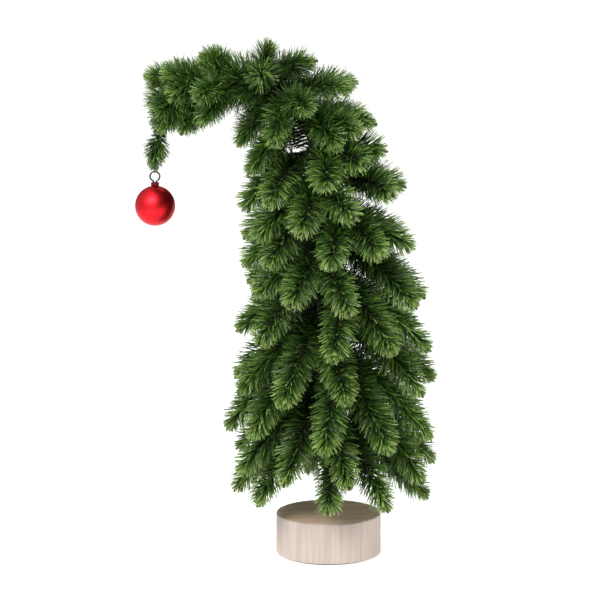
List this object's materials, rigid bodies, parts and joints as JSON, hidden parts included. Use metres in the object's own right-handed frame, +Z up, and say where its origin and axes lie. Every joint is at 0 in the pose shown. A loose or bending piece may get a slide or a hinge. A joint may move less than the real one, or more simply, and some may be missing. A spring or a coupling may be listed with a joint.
{
  "type": "artificial tabletop tree",
  "caption": "Small artificial conifer with green needle branches, an arched drooping leader carrying a red ball ornament, on a round wooden base.",
  "frame": {"origin": "centre of the base's resting face, on the trunk's axis", "axes": "+Z up along the trunk; the leader droops towards -X; the front of the tree faces -Y"},
  "size_m": [0.2937, 0.2018, 0.5126],
  "materials": {
    "base_wood": "matte",
    "foot_pad": "matte",
    "wire_steel": "satin",
    "bark_tape": "matte",
    "needles": "satin",
    "ball_red": "satin",
    "cap_red": "satin",
    "loop_wire": "gloss"
  },
  "bodies": {
    "trunk": {"base_disc": "base_wood", "foot_pad": "foot_pad", "trunk_rod": "wire_steel", "trunk_wrap": "bark_tape"},
    "leader_shoulder": {"leader_shoulder": "bark_tape"},
    "leader_run": {"leader_run": "bark_tape"},
    "leader_drop": {"leader_drop": "needles"},
    "bauble": {"bauble_ball": "ball_red", "bauble_cap": "cap_red", "bauble_loop": "loop_wire"},
    "branch_tier_1_a": {"branch_tier_1_a": "needles"},
    "branch_tier_1_b": {"branch_tier_1_b": "needles"},
    "branch_tier_1_c": {"branch_tier_1_c": "needles"},
    "branch_tier_2_a": {"branch_tier_2_a": "needles"},
    "branch_tier_2_b": {"branch_tier_2_b": "needles"},
    "branch_tier_2_c": {"branch_tier_2_c": "needles"},
    "branch_tier_3_a": {"branch_tier_3_a": "needles"},
    "branch_tier_3_b": {"branch_tier_3_b": "needles"},
    "branch_tier_3_c": {"branch_tier_3_c": "needles"},
    "branch_tier_4_a": {"branch_tier_4_a": "needles"},
    "branch_tier_4_b": {"branch_tier_4_b": "needles"},
    "branch_tier_4_c": {"branch_tier_4_c": "needles"},
    "branch_tier_5_a": {"branch_tier_5_a": "needles"},
    "branch_tier_5_b": {"branch_tier_5_b": "needles"},
    "branch_tier_5_c": {"branch_tier_5_c": "needles"},
    "branch_tier_6_a": {"branch_tier_6_a": "needles"},
    "branch_tier_6_b": {"branch_tier_6_b": "needles"},
    "branch_tier_6_c": {"branch_tier_6_c": "needles"},
    "branch_tier_7_a": {"branch_tier_7_a": "needles"},
    "branch_tier_7_b": {"branch_tier_7_b": "needles"},
    "branch_tier_7_c": {"branch_tier_7_c": "needles"},
    "branch_tier_8_a": {"branch_tier_8_a": "needles"},
    "branch_tier_8_b": {"branch_tier_8_b": "needles"},
    "branch_tier_8_c": {"branch_tier_8_c": "needles"},
    "branch_tier_9_a": {"branch_tier_9_a": "needles"},
    "branch_tier_9_b": {"branch_tier_9_b": "needles"},
    "branch_tier_9_c": {"branch_tier_9_c": "needles"},
    "shoulder_tuft_1": {"shoulder_tuft_1": "needles"},
    "shoulder_tuft_2": {"shoulder_tuft_2": "needles"},
    "shoulder_tuft_3": {"shoulder_tuft_3": "needles"},
    "shoulder_tuft_4": {"shoulder_tuft_4": "needles"},
    "shoulder_tuft_5": {"shoulder_tuft_5": "needles"},
    "shoulder_tuft_6": {"shoulder_tuft_6": "needles"},
    "shoulder_tuft_7": {"shoulder_tuft_7": "needles"},
    "shoulder_tuft_8": {"shoulder_tuft_8": "needles"},
    "shoulder_tuft_9": {"shoulder_tuft_9": "needles"},
    "shoulder_tuft_10": {"shoulder_tuft_10": "needles"},
    "garland_tuft_1": {"garland_tuft_1": "needles"},
    "garland_tuft_2": {"garland_tuft_2": "needles"},
    "garland_tuft_3": {"garland_tuft_3": "needles"},
    "garland_tuft_4": {"garland_tuft_4": "needles"},
    "garland_tuft_5": {"garland_tuft_5": "needles"},
    "garland_tuft_6": {"garland_tuft_6": "needles"},
    "garland_tuft_7": {"garland_tuft_7": "needles"},
    "garland_tuft_8": {"garland_tuft_8": "needles"},
    "garland_tuft_9": {"garland_tuft_9": "needles"}
  },
  "joints": [
    {"name": "shoulder_bend", "type": "hinge", "parent": "trunk", "child": "leader_shoulder", "pos_m": [-0.02169, 0, 0.43058], "axis": [0, 1, 0], "range_deg": [-6, 15]},
    {"name": "crown_bend", "type": "hinge", "parent": "leader_shoulder", "child": "leader_run", "pos_m": [-0.08377, 0, 0.47887], "axis": [0, 1, 0], "range_deg": [-10, 40]},
    {"name": "tip_bend", "type": "hinge", "parent": "leader_run", "child": "leader_drop", "pos_m": [-0.16026, 0, 0.45794], "axis": [0, 1, 0], "range_deg": [-25, 60]},
    {"name": "bauble_swing", "type": "hinge", "parent": "leader_drop", "child": "bauble", "pos_m": [-0.17285, 0, 0.38808], "axis": [0, 1, 0], "range_deg": [-60, 60]},
    {"name": "branch_tier_1_a_bend", "type": "hinge", "parent": "trunk", "child": "branch_tier_1_a", "pos_m": [0.00444, -0.00635, 0.143], "axis": [-0.8197, -0.5728, 0], "range_deg": [-10, 5]},
    {"name": "branch_tier_1_b_bend", "type": "hinge", "parent": "trunk", "child": "branch_tier_1_b", "pos_m": [0.00315, 0.00708, 0.143], "axis": [0.9139, -0.406, 0], "range_deg": [-10, 5]},
    {"name": "branch_tier_1_c_bend", "type": "hinge", "parent": "trunk", "child": "branch_tier_1_c", "pos_m": [-0.00773, -0.00051, 0.143], "axis": [-0.0653, 0.9979, 0], "range_deg": [-10, 5]},
    {"name": "branch_tier_2_a_bend", "type": "hinge", "parent": "trunk", "child": "branch_tier_2_a", "pos_m": [0.00774, 0.00044, 0.179], "axis": [0.0572, -0.9984, 0], "range_deg": [-7, 10]},
    {"name": "branch_tier_2_b_bend", "type": "hinge", "parent": "trunk", "child": "branch_tier_2_b", "pos_m": [-0.00434, 0.00642, 0.179], "axis": [0.8282, 0.5604, 0], "range_deg": [-7, 10]},
    {"name": "branch_tier_2_c_bend", "type": "hinge", "parent": "trunk", "child": "branch_tier_2_c", "pos_m": [-0.00337, -0.00698, 0.179], "axis": [-0.9006, 0.4347, 0], "range_deg": [-7, 10]},
    {"name": "branch_tier_3_a_bend", "type": "hinge", "parent": "trunk", "child": "branch_tier_3_a", "pos_m": [0.00293, 0.00717, 0.215], "axis": [0.9256, -0.3784, 0], "range_deg": [-10, 10]},
    {"name": "branch_tier_3_b_bend", "type": "hinge", "parent": "trunk", "child": "branch_tier_3_b", "pos_m": [-0.00772, -0.00064, 0.215], "axis": [-0.0824, 0.9966, 0], "range_deg": [-10, 10]},
    {"name": "branch_tier_3_c_bend", "type": "hinge", "parent": "trunk", "child": "branch_tier_3_c", "pos_m": [0.00425, -0.00648, 0.215], "axis": [-0.8364, -0.5481, 0], "range_deg": [-10, 10]},
    {"name": "branch_tier_4_a_bend", "type": "hinge", "parent": "trunk", "child": "branch_tier_4_a", "pos_m": [-0.00462, 0.00622, 0.251], "axis": [0.8032, 0.5958, 0], "range_deg": [-10, 10]},
    {"name": "branch_tier_4_b_bend", "type": "hinge", "parent": "trunk", "child": "branch_tier_4_b", "pos_m": [-0.00347, -0.00693, 0.251], "axis": [-0.8939, 0.4483, 0], "range_deg": [-10, 10]},
    {"name": "branch_tier_4_c_bend", "type": "hinge", "parent": "trunk", "child": "branch_tier_4_c", "pos_m": [0.00769, 0.00095, 0.251], "axis": [0.1221, -0.9925, 0], "range_deg": [-10, 10]},
    {"name": "branch_tier_5_a_bend", "type": "hinge", "parent": "trunk", "child": "branch_tier_5_a", "pos_m": [-0.00773, -0.00051, 0.287], "axis": [-0.0659, 0.9978, 0], "range_deg": [-10, 10]},
    {"name": "branch_tier_5_b_bend", "type": "hinge", "parent": "trunk", "child": "branch_tier_5_b", "pos_m": [0.0048, -0.00608, 0.287], "axis": [-0.7848, -0.6198, 0], "range_deg": [-10, 10]},
    {"name": "branch_tier_5_c_bend", "type": "hinge", "parent": "trunk", "child": "branch_tier_5_c", "pos_m": [0.00281, 0.00722, 0.287], "axis": [0.932, -0.3625, 0], "range_deg": [-10, 10]},
    {"name": "branch_tier_6_a_bend", "type": "hinge", "parent": "trunk", "child": "branch_tier_6_a", "pos_m": [-0.00333, -0.007, 0.323], "axis": [-0.9032, 0.4293, 0], "range_deg": [-10, 10]},
    {"name": "branch_tier_6_b_bend", "type": "hinge", "parent": "trunk", "child": "branch_tier_6_b", "pos_m": [0.00771, 0.00082, 0.323], "axis": [0.1061, -0.9944, 0], "range_deg": [-10, 10]},
    {"name": "branch_tier_6_c_bend", "type": "hinge", "parent": "trunk", "child": "branch_tier_6_c", "pos_m": [-0.00475, 0.00612, 0.323], "axis": [0.7903, 0.6127, 0], "range_deg": [-10, 10]},
    {"name": "branch_tier_7_a_bend", "type": "hinge", "parent": "trunk", "child": "branch_tier_7_a", "pos_m": [0.00362, -0.00641, 0.35735], "axis": [-0.8236, -0.5628, -0.0702], "range_deg": [-10, 10]},
    {"name": "branch_tier_7_b_bend", "type": "hinge", "parent": "trunk", "child": "branch_tier_7_b", "pos_m": [0.00252, 0.00703, 0.35726], "axis": [0.9044, -0.4197, 0.0771], "range_deg": [-10, 10]},
    {"name": "branch_tier_7_c_bend", "type": "hinge", "parent": "trunk", "child": "branch_tier_7_c", "pos_m": [-0.00841, -0.0007, 0.35632], "axis": [-0.09, 0.9959, -0.0077], "range_deg": [-10, 10]},
    {"name": "branch_tier_8_a_bend", "type": "hinge", "parent": "trunk", "child": "branch_tier_8_a", "pos_m": [0.00178, 0.00049, 0.38938], "axis": [0.0612, -0.998, 0.015], "range_deg": [-10, 10]},
    {"name": "branch_tier_8_b_bend", "type": "hinge", "parent": "trunk", "child": "branch_tier_8_b", "pos_m": [-0.01018, 0.00626, 0.38645], "axis": [0.7841, 0.5902, 0.1919], "range_deg": [-10, 10]},
    {"name": "branch_tier_8_c_bend", "type": "hinge", "parent": "trunk", "child": "branch_tier_8_c", "pos_m": [-0.00865, -0.00714, 0.38683], "axis": [-0.8953, 0.3879, -0.2191], "range_deg": [-10, 10]},
    {"name": "branch_tier_9_a_bend", "type": "hinge", "parent": "trunk", "child": "branch_tier_9_a", "pos_m": [-0.01122, 0.00702, 0.4154], "axis": [0.8415, -0.423, 0.3361], "range_deg": [-10, 10]},
    {"name": "branch_tier_9_b_bend", "type": "hinge", "parent": "trunk", "child": "branch_tier_9_b", "pos_m": [-0.0214, -0.001, 0.41133], "axis": [-0.1202, 0.9916, -0.048], "range_deg": [-10, 10]},
    {"name": "branch_tier_9_c_bend", "type": "hinge", "parent": "trunk", "child": "branch_tier_9_c", "pos_m": [-0.01018, -0.00638, 0.41581], "axis": [-0.7648, -0.5672, -0.3055], "range_deg": [-10, 10]},
    {"name": "shoulder_tuft_1_bend", "type": "hinge", "parent": "leader_shoulder", "child": "shoulder_tuft_1", "pos_m": [-0.02568, -0.00493, 0.44568], "axis": [-0.6738, -0.6157, -0.4085], "range_deg": [-10, 10]},
    {"name": "shoulder_tuft_2_bend", "type": "hinge", "parent": "leader_shoulder", "child": "shoulder_tuft_2", "pos_m": [-0.02647, 0.00552, 0.4452], "axis": [0.755, -0.4695, 0.4577], "range_deg": [-10, 10]},
    {"name": "shoulder_tuft_3_bend", "type": "hinge", "parent": "leader_shoulder", "child": "shoulder_tuft_3", "pos_m": [-0.03432, 0, 0.44044], "axis": [0, 1, 0], "range_deg": [-10, 10]},
    {"name": "shoulder_tuft_4_bend", "type": "hinge", "parent": "leader_shoulder", "child": "shoulder_tuft_4", "pos_m": [-0.0398, -0.0013, 0.46696], "axis": [-0.1379, -0.9781, -0.1556], "range_deg": [-10, 10]},
    {"name": "shoulder_tuft_5_bend", "type": "hinge", "parent": "leader_shoulder", "child": "shoulder_tuft_5", "pos_m": [-0.04457, -0.00615, 0.46157], "axis": [-0.6531, 0.1736, -0.7371], "range_deg": [-10, 10]},
    {"name": "shoulder_tuft_6_bend", "type": "hinge", "parent": "leader_shoulder", "child": "shoulder_tuft_6", "pos_m": [-0.04421, 0.00623, 0.46197], "axis": [0.6606, 0.0872, 0.7456], "range_deg": [-10, 10]},
    {"name": "shoulder_tuft_7_bend", "type": "hinge", "parent": "leader_shoulder", "child": "shoulder_tuft_7", "pos_m": [-0.04795, 0.00087, 0.45775], "axis": [0.0923, 0.9903, 0.1042], "range_deg": [-10, 10]},
    {"name": "shoulder_tuft_8_bend", "type": "hinge", "parent": "leader_shoulder", "child": "shoulder_tuft_8", "pos_m": [-0.06527, 0.00193, 0.48137], "axis": [0.096, -0.9511, 0.2937], "range_deg": [-10, 10]},
    {"name": "shoulder_tuft_9_bend", "type": "hinge", "parent": "leader_shoulder", "child": "shoulder_tuft_9", "pos_m": [-0.06597, -0.00506, 0.47921], "axis": [-0.2514, -0.5878, -0.769], "range_deg": [-10, 10]},
    {"name": "shoulder_tuft_10_bend", "type": "hinge", "parent": "leader_shoulder", "child": "shoulder_tuft_10", "pos_m": [-0.06784, 0.00579, 0.47349], "axis": [0.2881, 0.3746, 0.8813], "range_deg": [-10, 10]},
    {"name": "garland_tuft_1_bend", "type": "hinge", "parent": "leader_run", "child": "garland_tuft_1", "pos_m": [-0.09746, 0, 0.48355], "axis": [0, -1, 0], "range_deg": [-15, 7]},
    {"name": "garland_tuft_2_bend", "type": "hinge", "parent": "leader_run", "child": "garland_tuft_2", "pos_m": [-0.09642, -0.00472, 0.47607], "axis": [0.1242, 0.4384, -0.8902], "range_deg": [-15, 7]},
    {"name": "garland_tuft_3_bend", "type": "hinge", "parent": "leader_run", "child": "garland_tuft_3", "pos_m": [-0.09642, 0.00472, 0.47607], "axis": [-0.1242, 0.4384, 0.8902], "range_deg": [-15, 7]},
    {"name": "garland_tuft_4_bend", "type": "hinge", "parent": "leader_run", "child": "garland_tuft_4", "pos_m": [-0.11878, 0.00455, 0.47568], "axis": [-0.2241, -0.5, 0.8365], "range_deg": [-15, 7]},
    {"name": "garland_tuft_5_bend", "type": "hinge", "parent": "leader_run", "child": "garland_tuft_5", "pos_m": [-0.11674, 0, 0.46807], "axis": [0, 1, 0], "range_deg": [-15, 7]},
    {"name": "garland_tuft_6_bend", "type": "hinge", "parent": "leader_run", "child": "garland_tuft_6", "pos_m": [-0.11878, -0.00455, 0.47568], "axis": [0.2241, -0.5, -0.8365], "range_deg": [-15, 7]},
    {"name": "garland_tuft_7_bend", "type": "hinge", "parent": "leader_run", "child": "garland_tuft_7", "pos_m": [-0.14167, 0, 0.47226], "axis": [0, -1, 0], "range_deg": [-15, 7]},
    {"name": "garland_tuft_8_bend", "type": "hinge", "parent": "leader_run", "child": "garland_tuft_8", "pos_m": [-0.13963, 0.00455, 0.46465], "axis": [-0.2241, 0.5, 0.8365], "range_deg": [-15, 7]},
    {"name": "garland_tuft_9_bend", "type": "hinge", "parent": "leader_run", "child": "garland_tuft_9", "pos_m": [-0.13963, -0.00455, 0.46465], "axis": [0.2241, 0.5, -0.8365], "range_deg": [-15, 7]}
  ]
}
